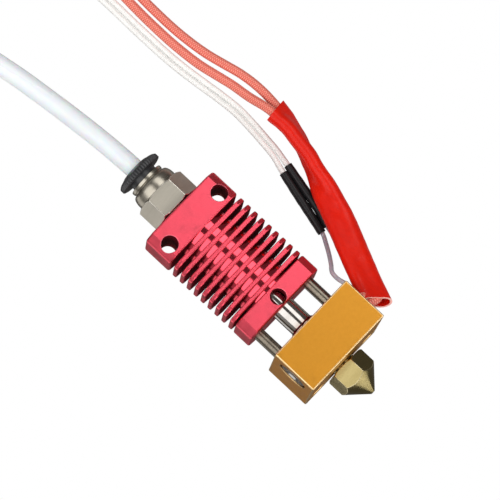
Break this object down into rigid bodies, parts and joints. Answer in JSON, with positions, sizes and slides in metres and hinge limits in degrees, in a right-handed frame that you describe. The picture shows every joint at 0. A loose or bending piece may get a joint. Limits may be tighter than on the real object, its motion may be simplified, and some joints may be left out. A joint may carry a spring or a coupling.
{
  "type": "hotend assembly",
  "caption": "Printer hotend: finned heatsink, push-in tube fitting, heat break, heater block and nozzle, with its tube, sleeved heater leads and sensor wires.",
  "frame": {"origin": "on the heatsink's flat back face, midway between the two mounting holes", "axes": "+Z is the outward normal of the front face, +Y runs from the nozzle to the tube fitting, +X is the width, to the right seen from the front"},
  "size_m": [0.0465, 0.1665, 0.02],
  "materials": {
    "red_anodised": "red anodised aluminium, satin, machined",
    "nickel": "nickel-plated brass, bright, turned",
    "polished_steel": "polished stainless steel",
    "dark_steel": "black-oxide steel",
    "gold_anodised": "gold anodised aluminium, fine blasted satin",
    "brass": "bright turned brass",
    "black_plastic": "black moulded acetal",
    "filament_tube": "translucent white fluoropolymer tube",
    "red_silicone": "red silicone rubber sleeve, satin",
    "red_lead": "red glass-fibre braided lead",
    "white_lead": "white insulated wire",
    "grey_sleeve": "translucent grey sleeved lead",
    "black_shrink": "black heat-shrink tube",
    "ceramic": "white ceramic cement",
    "glass_bead": "glass bead, amber",
    "seal_rubber": "black nitrile rubber",
    "white_plastic": "white moulded nylon",
    "tinned_copper": "tin-plated copper"
  },
  "bodies": {
    "hotend": {"heatsink": "red_anodised", "fitting_body": "nickel", "tube_seal": "seal_rubber", "grab_ring": "polished_steel", "heat_break": "polished_steel", "heater_block": "gold_anodised", "block_screw_left": "dark_steel", "block_screw_right": "dark_steel", "cartridge_set_screw": "dark_steel", "sensor_set_screw": "dark_steel", "nozzle": "brass", "heater_cartridge": "polished_steel", "cartridge_seal": "ceramic", "thermistor_bead": "glass_bead", "filament_tube_inner": "filament_tube", "filament_tube_run": "filament_tube", "filament_tube_coil": "filament_tube", "heater_sleeve": "red_silicone", "heater_lead_a": "red_lead", "heater_lead_b": "red_lead", "heater_lead_coil": "red_lead", "ferrule_a": "tinned_copper", "ferrule_b": "tinned_copper", "sensor_lead_a": "grey_sleeve", "sensor_lead_b": "grey_sleeve", "heat_shrink_a": "black_shrink", "heat_shrink_b": "black_shrink", "sensor_wire_a": "white_lead", "sensor_wire_b": "white_lead", "sensor_wire_coil": "white_lead", "sensor_tail_a": "white_lead", "sensor_tail_b": "white_lead", "connector_housing": "white_plastic", "connector_contact_a": "tinned_copper", "connector_contact_b": "tinned_copper"},
    "collet": {"release_collet": "black_plastic"}
  },
  "joints": [
    {"name": "collet_press", "type": "slide", "parent": "hotend", "child": "collet", "axis": [0, -1, 0], "range_m": [0, 0.0008], "stiffness_N_per_m": 200}
  ]
}
